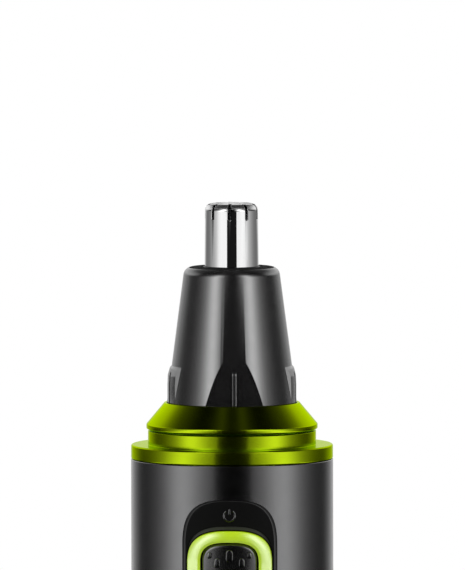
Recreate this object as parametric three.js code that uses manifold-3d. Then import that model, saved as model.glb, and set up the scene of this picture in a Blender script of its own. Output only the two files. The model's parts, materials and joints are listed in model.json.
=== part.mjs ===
// Battery-powered nose hair trimmer, standing on its battery cap.
// Millimetres, +Z up along the handle's axis, origin at the centre of the base, switch towards -Y.

import * as THREE from "three";
import { mergeVertices } from "three/addons/utils/BufferGeometryUtils.js";
import Module from "manifold-3d";

const wasm = await Module();
wasm.setup();

// ---- Driving dimensions -------------------------------------------------------------------

const GAP = 0.3; // between pieces that touch on the real object
const FINE = 40; // segments round the handle
const MEDIUM = 24; // segments round parts a few millimetres in radius
const COARSE = 12; // segments round pins and wires

const LENGTH = 136;
const HANDLE_R = 14;
const TUBE_WALL = 0.8;
const TUBE_IN_R = HANDLE_R - TUBE_WALL;
const SPIGOT_R = TUBE_IN_R - GAP; // what slides into the body tube
const CHASSIS_R = SPIGOT_R - 0.1;

// Levels from the top down.
const CUTTER_R = 3.61;
const CUTTER_WALL = 0.4;
const CUTTER_RIM = 1.2;
const SLOT_COUNT = 9;
const SLOT_WIDTH = 0.34;
const SLOT_DEPTH = 2.3;
const SLOT_PHASE = -3.5; // degrees from the front
const CONE_TOP = LENGTH - 8.8;
const CONE_TOP_R = 6.55;
const CONE_FOOT = CONE_TOP - 18.75;
const CONE_FOOT_R = 9.0;
const HEAD_TURN = 3.9; // degrees, how the head happens to sit on its bayonet
const FACET_DISTANCE = 8.06; // flats at the front and the back
const FIN_WIDTH = 0.58;
const FIN_R = 8.6;
const PAD_R = 8.93; // raised grip pads on the two sides
const PAD_HEIGHT = 5.15;
const PAD_HALF_ANGLE = 25.6;

const SHOULDER_TOP = CONE_FOOT - 0.1;
const SHOULDER_TOP_R = 9.45;
const BEAD_R = 11.86;
const BEAD_HEIGHT = 0.6;
const BAND_R = 11.64;
const BAND_TOP = 104.62;
const FLANGE_R = 13.98;
const FLANGE_TOP = 102.6;
const FLANGE_FOOT = 100.7;
const TUBE_TOP = FLANGE_FOOT - GAP;

// Bayonets: the lugs turn in a groove, and entry slots let them through the ledge.
const LUG_COUNT = 3;
const LUG_HALF_ANGLE = 12;
const SLOT_FROM = -15;
const SLOT_TO = 52;
const SHOULDER_BORE_R = 9.05;
const SEAL_R = SHOULDER_BORE_R - GAP; // the head's seat in the shoulder ring, as wide as its lugs
const SKIRT_R = 7.7;
const SKIRT_IN_R = 6.4;
const SKIRT_FOOT = 97.8;
const HEAD_LEDGE_R = SKIRT_R + GAP;
const HEAD_LEDGE_FOOT = 101;
const HEAD_GROOVE_R = 9.4;
const FLANGE_SPIGOT_FOOT = 97.4;

// Switch on the front.
const PANEL_HALF_WIDTH = 6.45;
const PANEL_TOP = FLANGE_FOOT - 4.84;
const PANEL_FOOT = 63.7;
const PANEL_ARCH = 6;
const PANEL_R = 14.15;
const PANEL_LIP = 1.2;
const POCKET_R = 13.3;
const SLIDER_HALF_WIDTH = 5.85;
const SLIDER_TOP = FLANGE_FOOT - 9.07;
const SLIDER_FOOT = SLIDER_TOP - 19;
const SLIDER_ARCH = 4.6;
const SLIDER_R = 15.2;
const SLIDER_TRAVEL = 5;
const BUTTON_HALF_WIDTH = 3.8;
const BUTTON_TOP = FLANGE_FOOT - 10.9;
const BUTTON_FOOT = SLIDER_FOOT + (SLIDER_TOP - BUTTON_TOP);
const BUTTON_ARCH = 2.6;
const BUTTON_R = 14.85;
const STEM_Z = (SLIDER_TOP + SLIDER_FOOT) / 2;
const STEM_HALF_WIDTH = 2;
const STEM_HALF_HEIGHT = 3;

// Battery, motor and drive train.
const CELL_R = 7.25;
const CELL_FOOT = 10.9;
const CELL_TOP = CELL_FOOT + 50.4;
const CELL_NUB = 1.3;
const CELL_TUBE_IN_R = 7.7;
const CELL_TUBE_R = 9.0;
const CELL_TUBE_FOOT = 22;
const BULKHEAD_FOOT = 62.3;
const BULKHEAD_TOP = 64.3;
const BELL_FOOT = 68.2;
const CAN_FOOT = 71.5;
const CAN_TOP = 91.2;
const CAN_R = 10.05;
const CAN_HALF_DEPTH = 7.55;
const CAN_WALL = 0.5;
const BOSS_R = 3;
const CRADLE_WALL_OUT = 8.45; // outer face of the walls in front of and behind the motor
const SHAFT_R = 1;
const COUPLING_R = 3.2;
const COUPLING_FOOT = 93.6;
const PRONG_FOOT = 97;
const PRONG_TOP = 99.9;
const SPINDLE_R = 1.5;
const SPINDLE_FOOT = 97.6;
const SPINDLE_TOP = 127.7;

// Battery cap.
const CAP_TOP = 19.4;
const TRIM_TOP = 21.7;
const CAP_FOOT_R = 12.8;
const CAP_SPIGOT_R = 11.5;
const CAP_BORE_R = 9.8;
const CAP_SPIGOT_TOP = 28.5;
const CAP_LEDGE_R = 11.8;
const CAP_LEDGE_TOP = 25.2;
const CAP_GROOVE_R = 12.4;
const TRIM_SPIGOT_TOP = 31;
const FLOOR = 2.5;

// ---- Materials ----------------------------------------------------------------------------

const finish = (color, roughness, metalness) =>
  new THREE.MeshStandardMaterial({ color, roughness, metalness, flatShading: true });
const blackPlastic = () => finish(0x131313, 0.42, 0);
const innerPlastic = () => finish(0x2b2d30, 0.6, 0);
const whitePlastic = () => finish(0xe4e2da, 0.45, 0);
const limeMetal = () => finish(0xb4e016, 0.28, 0.9);
const limePlastic = () => finish(0xd6ef6a, 0.4, 0.1);
const gunmetal = () => finish(0x6d6e70, 0.34, 0.9);
const chrome = () => finish(0xe6e6e6, 0.06, 1);
const steel = () => finish(0xb9bcc0, 0.25, 1);
const brass = () => finish(0xc8a24a, 0.3, 1);
const rubber = () => finish(0x111111, 0.8, 0);
const redInsulation = () => finish(0xa81c18, 0.5, 0);
const blackInsulation = () => finish(0x161616, 0.5, 0);
const ferrite = () => finish(0x2a2a2c, 0.7, 0.2);
const cellWrap = () => finish(0x30353b, 0.35, 0.4);

// ---- Geometry helpers ---------------------------------------------------------------------

const radians = (degrees) => THREE.MathUtils.degToRad(degrees);

// A body of revolution about Z; the [radius, z] profile runs anticlockwise round the section.
function turned(profile, segments = FINE) {
  const points = profile.map(([radius, z]) => new THREE.Vector2(radius, z));
  const geometry = new THREE.LatheGeometry(points, segments);
  geometry.rotateX(Math.PI / 2);
  return geometry;
}

function ring(innerR, outerR, foot, top, segments = FINE) {
  const section = [[innerR, foot], [outerR, foot], [outerR, top], [innerR, top], [innerR, foot]];
  return turned(section, segments);
}

function disc(radius, foot, top, segments = MEDIUM) {
  return turned([[0, foot], [radius, foot], [radius, top], [0, top]], segments);
}

function box(x0, x1, y0, y1, z0, z1) {
  const geometry = new THREE.BoxGeometry(x1 - x0, y1 - y0, z1 - z0);
  geometry.translate((x0 + x1) / 2, (y0 + y1) / 2, (z0 + z1) / 2);
  return geometry;
}

// An outline in X and Z, extruded along Y.
function frontPrism(points, y0, y1) {
  const shape = new THREE.Shape(points.map(([x, z]) => new THREE.Vector2(x, z)));
  const geometry = new THREE.ExtrudeGeometry(shape, { depth: y1 - y0, bevelEnabled: false });
  geometry.rotateX(Math.PI / 2);
  geometry.translate(0, y1, 0);
  return geometry;
}

// An outline in X and Y, extruded along Z.
function floorPrism(points, foot, top) {
  const shape = new THREE.Shape(points.map(([x, y]) => new THREE.Vector2(x, y)));
  const geometry = new THREE.ExtrudeGeometry(shape, { depth: top - foot, bevelEnabled: false });
  geometry.translate(0, 0, foot);
  return geometry;
}

// A block of a ring, centred on an angle that is counted anticlockwise from the front.
function sector(innerR, outerR, fromAngle, toAngle, foot, top, steps = 4) {
  const arc = (radius, index) => {
    const angle = radians(fromAngle + ((toAngle - fromAngle) * index) / steps - 90);
    return [radius * Math.cos(angle), radius * Math.sin(angle)];
  };
  const indices = [...Array(steps + 1).keys()];
  const outer = indices.map((index) => arc(outerR, index));
  const inner = indices.map((index) => arc(innerR, index)).reverse();
  return floorPrism([...outer, ...inner], foot, top);
}

// An upright outline in X and Z whose two ends are superellipse arches.
function archedOutline(halfWidth, foot, top, arch, power = 3, steps = 7) {
  const points = [];
  for (let index = 0; index < 4 * steps; index++) {
    const angle = (index * Math.PI) / (2 * steps);
    const across = Math.sign(Math.cos(angle)) * Math.abs(Math.cos(angle)) ** (2 / power);
    const along = Math.abs(Math.sin(angle)) ** (2 / power);
    const z = index < 2 * steps ? top - arch + arch * along : foot + arch - arch * along;
    points.push([halfWidth * across, z]);
  }
  return points;
}

// The same outline, grown by a margin all round.
function grown(margin, halfWidth, foot, top, arch, power) {
  return archedOutline(halfWidth + margin, foot - margin, top + margin, arch + margin, power);
}

// A round wire or tube along a smooth path through the given points.
function wire(points, radius, steps, sides = 6) {
  const circle = [];
  for (let index = 0; index < sides; index++) {
    const angle = (index * 2 * Math.PI) / sides;
    circle.push(new THREE.Vector2(radius * Math.cos(angle), radius * Math.sin(angle)));
  }
  const path = new THREE.CatmullRomCurve3(points.map((point) => new THREE.Vector3(...point)));
  return new THREE.ExtrudeGeometry(new THREE.Shape(circle), { steps, extrudePath: path });
}

// A coil spring about Z, from one radius at its foot to another at its top.
function coil(footR, topR, foot, top, turns, wireR) {
  const stepsPerTurn = 10;
  const points = [];
  for (let index = 0; index <= turns * stepsPerTurn; index++) {
    const along = index / (turns * stepsPerTurn);
    const angle = 2 * Math.PI * turns * along;
    const radius = footR + (topR - footR) * along;
    const z = foot + wireR + (top - foot - 2 * wireR) * along;
    points.push([radius * Math.cos(angle), radius * Math.sin(angle), z]);
  }
  return wire(points, wireR, turns * stepsPerTurn, 5);
}

function torus(radius, wireR, z) {
  const geometry = new THREE.TorusGeometry(radius, wireR, 6, 32);
  geometry.translate(0, 0, z);
  return geometry;
}

// ---- Booleans -----------------------------------------------------------------------------

function solid(geometry) {
  const bare = geometry.clone();
  bare.deleteAttribute("normal");
  bare.deleteAttribute("uv");
  const merged = mergeVertices(bare, 1e-4);
  const vertProperties = merged.attributes.position.array;
  const triVerts = new Uint32Array(merged.index.array);
  return new wasm.Manifold(new wasm.Mesh({ numProp: 3, vertProperties, triVerts }));
}

function toGeometry(manifold) {
  const mesh = manifold.getMesh();
  const geometry = new THREE.BufferGeometry();
  geometry.setAttribute("position", new THREE.BufferAttribute(mesh.vertProperties, 3));
  geometry.setIndex(new THREE.BufferAttribute(mesh.triVerts, 1));
  return geometry;
}

const join = (...geometries) =>
  toGeometry(geometries.map(solid).reduce((whole, next) => whole.add(next)));
const cut = (geometry, ...tools) =>
  toGeometry(tools.map(solid).reduce((whole, next) => whole.subtract(next), solid(geometry)));
const common = (first, second) => toGeometry(solid(first).intersect(solid(second)));

function turnedBy(geometry, degrees) {
  const copy = geometry.clone();
  copy.rotateZ(radians(degrees));
  return copy;
}

const evenly = (count, make) => [...Array(count).keys()].map((index) => make((360 / count) * index));

// What is left of an outline prism between two radii, on the front of the handle.
function curvedPlate(outline, innerR, outerR) {
  return common(frontPrism(outline, -2 * HANDLE_R, -1), ring(innerR, outerR, 0, LENGTH));
}

// The flat-sided round outline of the motor, grown by a margin.
function motorBlock(margin, foot, top) {
  const sideways = CAN_R + margin + 1;
  const depth = CAN_HALF_DEPTH + margin;
  const slab = box(-sideways, sideways, -depth, depth, foot - 1, top + 1);
  return common(disc(CAN_R + margin, foot, top, FINE), slab);
}

// ---- Outlines shared by neighbouring parts ------------------------------------------------

const panelOutline = (margin) =>
  grown(margin, PANEL_HALF_WIDTH, PANEL_FOOT, PANEL_TOP, PANEL_ARCH);
const sliderOutline = (margin, travel = 0) =>
  grown(margin, SLIDER_HALF_WIDTH, SLIDER_FOOT - travel, SLIDER_TOP, SLIDER_ARCH, 2.8);
const buttonOutline = (margin) =>
  grown(margin, BUTTON_HALF_WIDTH, BUTTON_FOOT, BUTTON_TOP, BUTTON_ARCH);

// ---- Handle -------------------------------------------------------------------------------

function bodyTube() {
  const sleeve = ring(TUBE_IN_R, HANDLE_R, TRIM_TOP + GAP, TUBE_TOP);
  return cut(sleeve, frontPrism(panelOutline(GAP), -2 * HANDLE_R, -1));
}

// Entry slots for bayonet lugs, through a ledge of the given bore.
function entrySlots(boreR, slotR, foot, top) {
  return evenly(LUG_COUNT, (at) => sector(boreR - 0.5, slotR, at + SLOT_FROM, at + SLOT_TO, foot, top, 6));
}

function lugs(innerR, outerR, foot, top) {
  return evenly(LUG_COUNT, (at) =>
    sector(innerR, outerR, at - LUG_HALF_ANGLE, at + LUG_HALF_ANGLE, foot, top));
}

function flangeRing() {
  const body = turned([
    [HEAD_GROOVE_R, FLANGE_SPIGOT_FOOT],
    [SPIGOT_R, FLANGE_SPIGOT_FOOT],
    [SPIGOT_R, FLANGE_FOOT],
    [FLANGE_R - 0.15, FLANGE_FOOT],
    [FLANGE_R, FLANGE_FOOT + 0.15],
    [FLANGE_R, FLANGE_TOP - 0.25],
    [FLANGE_R - 0.25, FLANGE_TOP],
    [BAND_R, FLANGE_TOP],
    [BAND_R, BAND_TOP],
    [HEAD_LEDGE_R, BAND_TOP],
    [HEAD_LEDGE_R, HEAD_LEDGE_FOOT],
    [HEAD_GROOVE_R, HEAD_LEDGE_FOOT],
    [HEAD_GROOVE_R, FLANGE_SPIGOT_FOOT],
  ]);
  const slotR = HEAD_GROOVE_R - 0.2;
  return cut(body, ...entrySlots(HEAD_LEDGE_R, slotR, HEAD_LEDGE_FOOT - 1, BAND_TOP + 1));
}

function shoulderRing() {
  const foot = BAND_TOP + 0.2;
  return turned([
    [SHOULDER_BORE_R, foot],
    [BEAD_R - 0.25, foot],
    [BEAD_R, foot + 0.25],
    [BEAD_R, foot + BEAD_HEIGHT],
    [SHOULDER_TOP_R, SHOULDER_TOP - 0.1],
    [SHOULDER_TOP_R - 0.1, SHOULDER_TOP],
    [SHOULDER_BORE_R, SHOULDER_TOP],
    [SHOULDER_BORE_R, foot],
  ]);
}

function switchPanel() {
  const lip = curvedPlate(panelOutline(PANEL_LIP), CHASSIS_R - 0.7, SPIGOT_R);
  const plate = curvedPlate(panelOutline(0), SPIGOT_R - 0.2, PANEL_R);
  const pocket = curvedPlate(sliderOutline(0.25, SLIDER_TRAVEL), POCKET_R, 2 * HANDLE_R);
  const slotWidth = STEM_HALF_WIDTH + GAP;
  const slotFoot = STEM_Z - STEM_HALF_HEIGHT - SLIDER_TRAVEL - GAP;
  const slotTop = STEM_Z + STEM_HALF_HEIGHT + GAP;
  const slot = box(-slotWidth, slotWidth, -HANDLE_R - 1, -1, slotFoot, slotTop);
  return cut(join(lip, plate), pocket, slot);
}

function trimRing() {
  const foot = CAP_TOP + GAP;
  const body = turned([
    [CAP_LEDGE_R, foot],
    [HANDLE_R - 0.25, foot],
    [HANDLE_R, foot + 0.25],
    [HANDLE_R, TRIM_TOP - 0.15],
    [HANDLE_R - 0.15, TRIM_TOP],
    [SPIGOT_R, TRIM_TOP],
    [SPIGOT_R, TRIM_SPIGOT_TOP],
    [CAP_GROOVE_R, TRIM_SPIGOT_TOP],
    [CAP_GROOVE_R, CAP_LEDGE_TOP],
    [CAP_LEDGE_R, CAP_LEDGE_TOP],
    [CAP_LEDGE_R, foot],
  ]);
  return cut(body, ...entrySlots(CAP_LEDGE_R, CAP_GROOVE_R - 0.05, foot - 1, CAP_LEDGE_TOP + 1));
}

// ---- Switch slider ------------------------------------------------------------------------

const SLIDER_IN_R = POCKET_R + 0.35;

function sliderRing() {
  const outside = curvedPlate(sliderOutline(0), SLIDER_IN_R, SLIDER_R);
  return cut(outside, frontPrism(buttonOutline(0.2), -2 * HANDLE_R, -1));
}

function sliderButton() {
  const face = curvedPlate(buttonOutline(0), SLIDER_IN_R, BUTTON_R);
  const stem = box(
    -STEM_HALF_WIDTH,
    STEM_HALF_WIDTH,
    -SLIDER_IN_R - 0.3,
    -11.2,
    STEM_Z - STEM_HALF_HEIGHT,
    STEM_Z + STEM_HALF_HEIGHT,
  );
  return join(face, stem);
}

const sliderCarrier = () => box(-4.5, 4.5, -10.9, -9.9, STEM_Z - 5, STEM_Z + 5);
const movingContact = () => box(-3.6, 3.6, -9.6, -9.3, STEM_Z - 1.6, STEM_Z + 1.9);

// ---- Chassis, contacts and leads ----------------------------------------------------------

const SCREW_X = 11.5;
const SCREW_R = 0.7;
const RETURN_LEAD = { x: -9.04, y: 3.29 };

function chassis() {
  const cellTube = ring(CELL_TUBE_IN_R, CELL_TUBE_R, CELL_TUBE_FOOT, BULKHEAD_FOOT + 0.5);
  const rib = box(CELL_TUBE_R - 0.3, CHASSIS_R - 0.1, -1, 1, TRIM_SPIGOT_TOP + 3, BULKHEAD_FOOT + 0.5);
  const ribs = evenly(4, (at) => turnedBy(rib, at + 45));
  const cradle = disc(CHASSIS_R, BULKHEAD_FOOT, CAN_TOP, FINE);
  const body = join(cellTube, ...ribs, cradle);
  const wide = HANDLE_R + 1;
  const frontSpace = box(-wide, wide, -wide, -CRADLE_WALL_OUT, PANEL_FOOT - 3, LENGTH);
  const backSpace = box(-wide, wide, CRADLE_WALL_OUT, wide, BULKHEAD_TOP, LENGTH);
  const motorPocket = motorBlock(GAP, BULKHEAD_TOP, CAN_TOP + 1);
  const leadWindow = box(-6, 6, -CRADLE_WALL_OUT - 1, -6, BULKHEAD_TOP, BELL_FOOT + 0.6);
  const contactHole = box(-3.2, -1.8, -5.5, -4.5, BULKHEAD_FOOT - 1, BULKHEAD_TOP + 1);
  const leadHole = disc(0.75, BULKHEAD_FOOT - 1, BULKHEAD_TOP + 1, COARSE);
  leadHole.translate(RETURN_LEAD.x, RETURN_LEAD.y, 0);
  const screwHoles = [-SCREW_X, SCREW_X].map((x) => {
    const hole = disc(SCREW_R + GAP, CAN_TOP - 7, CAN_TOP + 1, COARSE);
    hole.translate(x, 0, 0);
    return hole;
  });
  return cut(body, frontSpace, backSpace, motorPocket, leadWindow, contactHole, leadHole, ...screwHoles);
}

const CONTACT_Y = [-9.0, -8.75];
const fixedContactLower = () => box(-4, -1, ...CONTACT_Y, BELL_FOOT, STEM_Z + 4);
const fixedContactUpper = () => box(1, 4, ...CONTACT_Y, STEM_Z - 2, CAN_TOP - 1.2);

function batteryPlusContact() {
  const plate = disc(5.8, CELL_TOP + GAP, BULKHEAD_FOOT - GAP);
  const tail = box(-2.9, -2.1, -5.1, -4.8, CELL_TOP + GAP, BULKHEAD_TOP + 0.8);
  return join(plate, tail);
}

const negativeStrip = () =>
  box(-CELL_TUBE_R - 0.6, -CELL_TUBE_R - 0.3, -1.5, 1.5, CELL_TUBE_FOOT + 0.5, 60.5);

const LEAD_R = 0.4;

function batteryLead() {
  const path = [
    [-2.5, -5, 65.8],
    [-2.5, -6.6, 66.1],
    [-2.5, -8.2, 66.2],
    [-2.5, -8.88, 66.7],
    [-2.5, -8.88, 67.8],
  ];
  return wire(path, LEAD_R, 8);
}

function motorLead() {
  const path = [
    [4.8, -8.9, 88],
    [4.8, -8.9, 82],
    [4.8, -8.9, 74],
    [4.8, -8.9, 68.4],
    [5, -8.1, 66.6],
    [5.4, -5.5, 65.9],
    [5.5, -3, 66],
    [5.5, -1.6, 66.4],
  ];
  return wire(path, LEAD_R, 20);
}

function returnLead() {
  const { x, y } = RETURN_LEAD;
  const path = [
    [-5.5, 1.6, 66.4],
    [-6.4, 2.4, 66.2],
    [-8.2, 3.2, 65.9],
    [x, y, 64.8],
    [x, y, 62.6],
    [-9.4, 2.2, 61.4],
    [-9.45, 0.9, 61.3],
  ];
  return wire(path, LEAD_R, 16);
}

// ---- Motor --------------------------------------------------------------------------------

function motorCan() {
  const shell = motorBlock(0, CAN_FOOT, CAN_TOP);
  const boss = disc(BOSS_R, CAN_TOP - 0.2, CAN_TOP + 1.4);
  const inside = motorBlock(-CAN_WALL, CAN_FOOT - 1, CAN_TOP - CAN_WALL);
  const bearing = disc(SHAFT_R + 0.15, CAN_TOP - 2, CAN_TOP + 3, COARSE);
  return cut(join(shell, boss), inside, bearing);
}

function motorEndBell() {
  const plate = motorBlock(-0.15, BELL_FOOT, CAN_FOOT - GAP);
  return cut(plate, disc(SHAFT_R + 0.3, BELL_FOOT - 1, CAN_FOOT + 1, COARSE));
}

function motorMagnet(side) {
  const innerR = 6.4;
  const outerR = CAN_R - CAN_WALL - GAP;
  return sector(innerR, outerR, side * 90 - 36, side * 90 + 36, CAN_FOOT + 3, CAN_TOP - 3, 8);
}

const motorTerminal = (x) => box(x - 0.25, x + 0.25, -1.2, 1.2, BELL_FOOT - 2.8, BELL_FOOT - GAP);

function motorArmature() {
  const poleFoot = CAN_FOOT + 3.5;
  const poleTop = CAN_TOP - 3.5;
  const hub = disc(2.2, CAN_FOOT + 0.3, poleTop + 0.8, COARSE);
  const poles = evenly(3, (at) => sector(1.8, 3.8, at - 24, at + 24, poleFoot, poleTop, 3));
  const shoes = evenly(3, (at) => sector(3.6, 5.9, at - 50, at + 50, poleFoot, poleTop, 8));
  const bore = disc(SHAFT_R + 0.15, CAN_FOOT - 1, CAN_TOP, COARSE);
  return cut(join(hub, ...poles, ...shoes), bore);
}

const motorShaft = () => disc(SHAFT_R, BELL_FOOT - 1.6, PRONG_FOOT - 0.4, COARSE);

function motorRetainer() {
  const foot = CAN_TOP + GAP;
  const top = foot + 1.5;
  const plate = disc(CHASSIS_R, foot, top, FINE);
  const wide = HANDLE_R + 1;
  const front = box(-wide, wide, -wide, -CRADLE_WALL_OUT, foot - 1, top + 1);
  const back = box(-wide, wide, CRADLE_WALL_OUT, wide, foot - 1, top + 1);
  const holes = [-SCREW_X, 0, SCREW_X].map((x) => {
    const hole = disc(x === 0 ? BOSS_R + GAP : SCREW_R + 0.2, foot - 1, top + 1, COARSE);
    hole.translate(x, 0, 0);
    return hole;
  });
  return cut(plate, front, back, ...holes);
}

function retainerScrew(x) {
  const seat = CAN_TOP + 2.1;
  const shank = CAN_TOP - 6;
  const body = turned(
    [
      [0, shank],
      [SCREW_R, shank + 0.6],
      [SCREW_R, seat],
      [1.25, seat],
      [1.25, seat + 0.5],
      [0.7, seat + 0.8],
      [0, seat + 0.8],
    ],
    COARSE,
  );
  const screw = cut(
    body,
    box(-0.9, 0.9, -0.15, 0.15, seat + 0.4, seat + 2),
    box(-0.15, 0.15, -0.9, 0.9, seat + 0.4, seat + 2),
  );
  screw.translate(x, 0, 0);
  return screw;
}

function driveCoupling() {
  const hub = disc(COUPLING_R, COUPLING_FOOT, PRONG_FOOT);
  const prongs = evenly(2, (at) => sector(1.9, COUPLING_R, at - 15, at + 15, PRONG_FOOT - 0.5, PRONG_TOP));
  return cut(join(hub, ...prongs), disc(SHAFT_R + 0.15, COUPLING_FOOT - 1, PRONG_FOOT + 1, COARSE));
}

// ---- Cutter head --------------------------------------------------------------------------

const coneR = (z) =>
  CONE_FOOT_R + ((CONE_TOP_R - CONE_FOOT_R) * (z - CONE_FOOT)) / (CONE_TOP - CONE_FOOT);

const O_RING_Z = CONE_FOOT - 2.3;
const CUTTER_BORE_R = 3.95;
const CUTTER_FOOT = CONE_TOP - 3.6;

// The rounded top edge of a turned part, from its side to its top face.
function rounding(outerR, top, radius, steps = 4) {
  return [...Array(steps + 1).keys()].map((index) => {
    const angle = (index * Math.PI) / (2 * steps);
    return [outerR - radius + radius * Math.cos(angle), top - radius + radius * Math.sin(angle)];
  });
}

// A raised grip pad that stands out of the cone at its top and runs into it at its foot.
function gripPad() {
  const body = turned([
    [7.4, CONE_FOOT],
    [PAD_R, CONE_FOOT],
    [PAD_R, CONE_FOOT + 1.8],
    [PAD_R - 0.08, CONE_FOOT + 3.5],
    [PAD_R - 0.33, CONE_FOOT + 4.6],
    [PAD_R - 0.75, CONE_FOOT + PAD_HEIGHT],
    [7.4, CONE_FOOT + PAD_HEIGHT],
    [7.4, CONE_FOOT],
  ]);
  const wedge = sector(7, 12, -PAD_HALF_ANGLE, PAD_HALF_ANGLE, CONE_FOOT - 1, CONE_FOOT + 6, 6);
  return common(body, wedge);
}

const padGroove = (at) => sector(PAD_R - 0.22, 12, at - 1.8, at + 1.8, CONE_FOOT - 1, CONE_FOOT + 6, 1);

function headCone() {
  const edge = 1.05;
  const body = turned([
    [SKIRT_IN_R, SKIRT_FOOT],
    [SKIRT_R, SKIRT_FOOT],
    [SKIRT_R, BAND_TOP + GAP],
    [SEAL_R, BAND_TOP + GAP],
    [SEAL_R, O_RING_Z - 0.7],
    [7.8, O_RING_Z - 0.7],
    [7.8, O_RING_Z + 0.7],
    [SEAL_R, O_RING_Z + 0.7],
    [SEAL_R, CONE_FOOT],
    [CONE_FOOT_R, CONE_FOOT],
    ...rounding(coneR(CONE_TOP - edge), CONE_TOP, edge),
    [CUTTER_BORE_R, CONE_TOP],
    [CUTTER_BORE_R, CUTTER_FOOT + 1.1],
    [5, CUTTER_FOOT + 1.1],
    [5, 119.5],
    [6.2, 116],
    [7, 110],
    [SKIRT_IN_R, 104],
    [SKIRT_IN_R, SKIRT_FOOT],
  ]);
  const far = CONE_FOOT_R + 3;
  const facetTool = box(FACET_DISTANCE, far, -far, far, CONE_FOOT + 0.2, CONE_TOP - 4);
  const fin = frontPrism(
    [
      [FACET_DISTANCE - 0.6, CONE_FOOT],
      [FIN_R, CONE_FOOT],
      [FIN_R, CONE_FOOT + 4.1],
      [FIN_R - 0.2, CONE_FOOT + 4.45],
      [FACET_DISTANCE, CONE_FOOT + 4.65],
      [FACET_DISTANCE - 0.6, CONE_FOOT + 4.65],
    ],
    -FIN_WIDTH / 2,
    FIN_WIDTH / 2,
  );
  const quarters = [90, 270];
  const facets = quarters.map((at) => turnedBy(facetTool, at));
  const fins = quarters.map((at) => turnedBy(fin, at));
  const pads = quarters.map((at) => turnedBy(gripPad(), at));
  const grooves = quarters.flatMap((at) => [at - 12.5, at, at + 12.5].map(padGroove));
  const grip = cut(join(body, ...pads), ...facets, ...grooves);
  const shell = join(grip, ...fins, ...lugs(SKIRT_R - 0.4, SEAL_R, SKIRT_FOOT + 0.4, 100.6));
  return turnedBy(shell, HEAD_TURN);
}

function outerCutter() {
  const inR = CUTTER_R - CUTTER_WALL;
  const roof = LENGTH - 0.45;
  const body = turned(
    [
      [inR, CUTTER_FOOT],
      [4.6, CUTTER_FOOT],
      [4.6, CUTTER_FOOT + 0.8],
      [CUTTER_R, CUTTER_FOOT + 0.8],
      ...rounding(CUTTER_R, LENGTH, CUTTER_RIM, 5),
      [0, LENGTH],
      [0, roof],
      ...rounding(inR, roof, CUTTER_RIM - 0.3, 3).reverse(),
      [inR, CUTTER_FOOT],
    ],
    MEDIUM,
  );
  const slot = box(-SLOT_WIDTH / 2, SLOT_WIDTH / 2, -5, -1.7, LENGTH - SLOT_DEPTH, LENGTH + 1);
  const slots = evenly(SLOT_COUNT, (at) => turnedBy(slot, at + SLOT_PHASE));
  return cut(body, ...slots);
}

const cutterRetainer = () => ring(3.5, 4.7, CUTTER_FOOT - 2, CUTTER_FOOT - GAP, MEDIUM);

const BEARING_FOOT = 112.2;
const bearingPlate = () => ring(3, 6.2, BEARING_FOOT, BEARING_FOOT + 1.5, MEDIUM);

function spindleBush() {
  const bore = SPINDLE_R + 0.25;
  const seat = BEARING_FOOT - GAP;
  const section = [
    [bore, seat - 1.2],
    [3.8, seat - 1.2],
    [3.8, seat],
    [2.7, seat],
    [2.7, seat + 3.2],
    [bore, seat + 3.2],
    [bore, seat - 1.2],
  ];
  return turned(section, MEDIUM);
}

// ---- Blade --------------------------------------------------------------------------------

function bladeSpindle() {
  const shaft = turned(
    [
      [0, SPINDLE_FOOT],
      [SPINDLE_R, SPINDLE_FOOT],
      [SPINDLE_R, 121],
      [2.8, 121],
      [2.8, 122],
      [2.4, 122],
      [2.4, SPINDLE_TOP],
      [0, SPINDLE_TOP],
    ],
    MEDIUM,
  );
  return join(shaft, box(-2.5, 2.5, -0.6, 0.6, SPINDLE_FOOT, SPINDLE_FOOT + 2));
}

function innerBlade() {
  const reach = CUTTER_R - CUTTER_WALL - 0.3;
  const foot = SPINDLE_TOP + GAP;
  const hub = disc(2, foot, foot + 2.6, MEDIUM);
  const top = LENGTH - 0.8;
  const vaneOutline = [
    [-reach, foot + 2],
    [reach, foot + 2],
    [reach, top - 1],
    [reach - 0.9, top],
    [0.9 - reach, top],
    [-reach, top - 1],
  ];
  const vane = frontPrism(vaneOutline, -0.25, 0.25);
  return join(hub, vane, turnedBy(vane, 90));
}

const bladeSpring = () => coil(2.25, 2.25, 115.4, 120.7, 4, 0.22);

// ---- Battery and its cap ------------------------------------------------------------------

function batteryCell() {
  const shoulder = CELL_TOP - CELL_NUB;
  return turned([
    [0, CELL_FOOT],
    [CELL_R - 0.5, CELL_FOOT],
    [CELL_R, CELL_FOOT + 0.5],
    [CELL_R, shoulder - 0.4],
    [CELL_R - 0.4, shoulder],
    [2.75, shoulder],
    [2.75, CELL_TOP - 0.2],
    [2.55, CELL_TOP],
    [0, CELL_TOP],
  ], MEDIUM);
}

const CAP_SEAL_Z = 22.4;

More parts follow.
